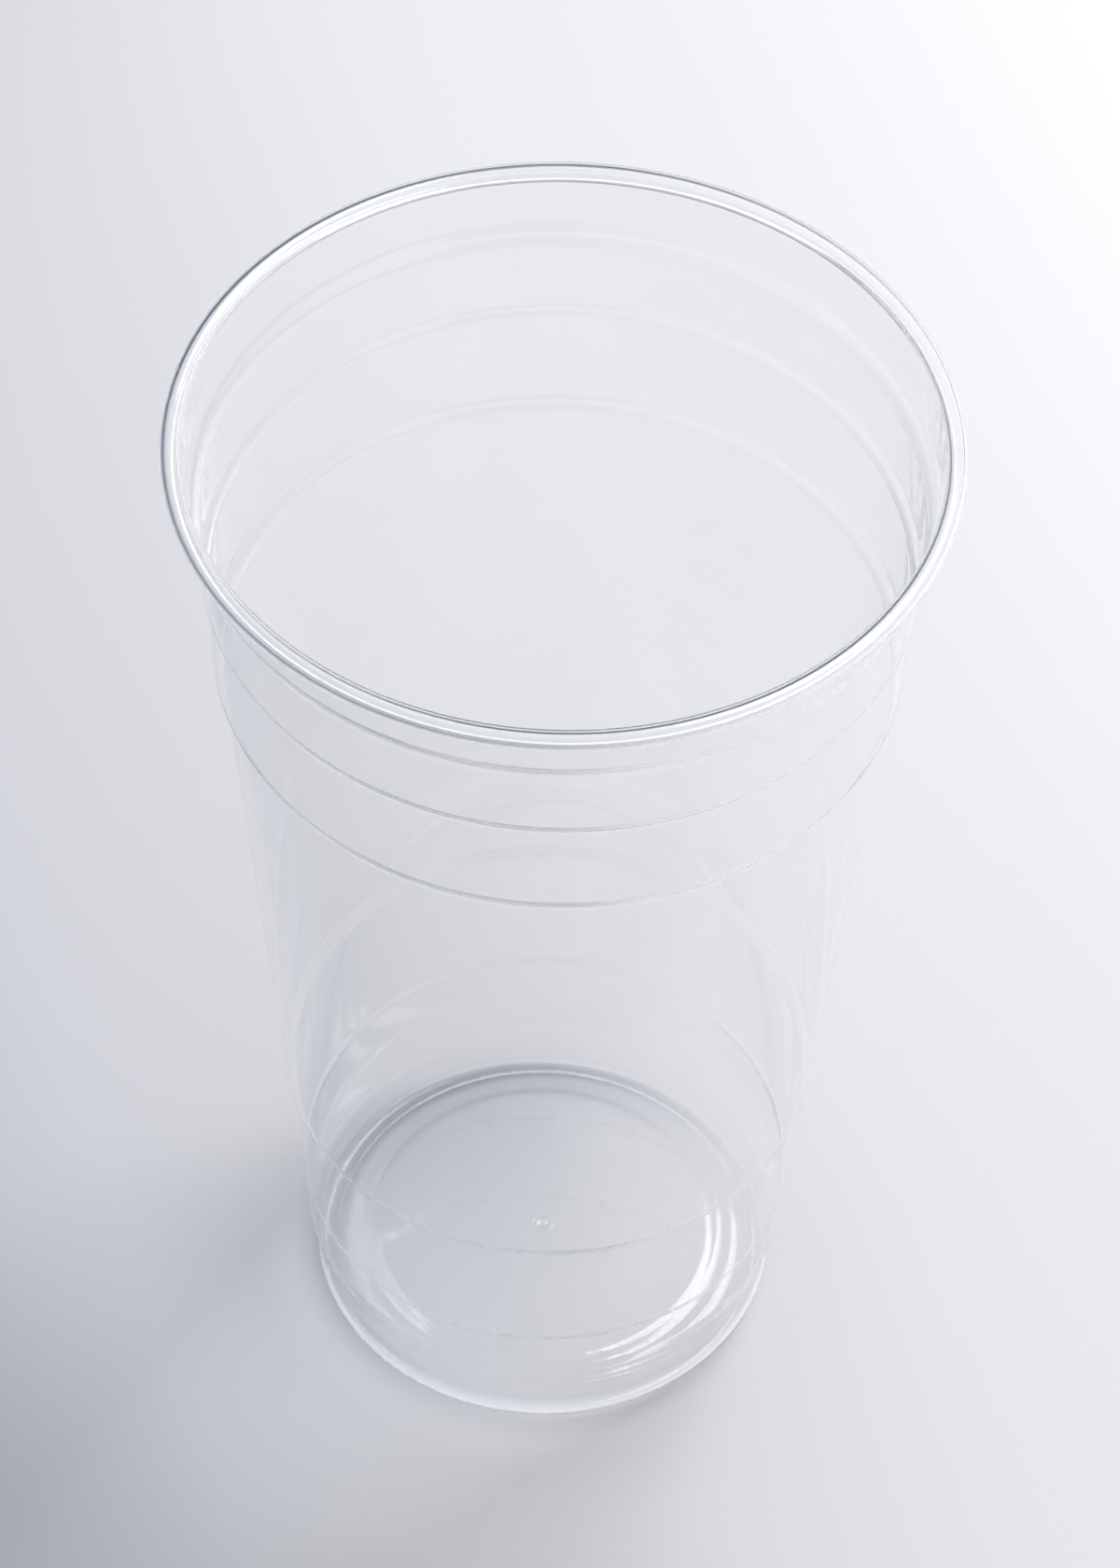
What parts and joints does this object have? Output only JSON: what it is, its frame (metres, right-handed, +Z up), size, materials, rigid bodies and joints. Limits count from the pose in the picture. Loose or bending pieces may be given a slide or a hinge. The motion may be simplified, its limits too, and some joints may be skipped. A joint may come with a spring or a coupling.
{
  "type": "plastic tumbler cup",
  "caption": "Tall clear plastic tumbler for cold drinks, tapered, with a rolled lip, stepped rings near the lip and foot, and a raised base panel.",
  "frame": {"origin": "on the tumbler's axis, in the plane that its foot stands on", "axes": "+Z up along the tumbler's axis, from the foot to the lip; it is round, so +X and +Y are free"},
  "size_m": [0.0988, 0.0988, 0.161],
  "materials": {
    "clear_plastic": "clear, gloss"
  },
  "bodies": {
    "root": {"tumbler": "clear_plastic"}
  },
  "joints": []
}
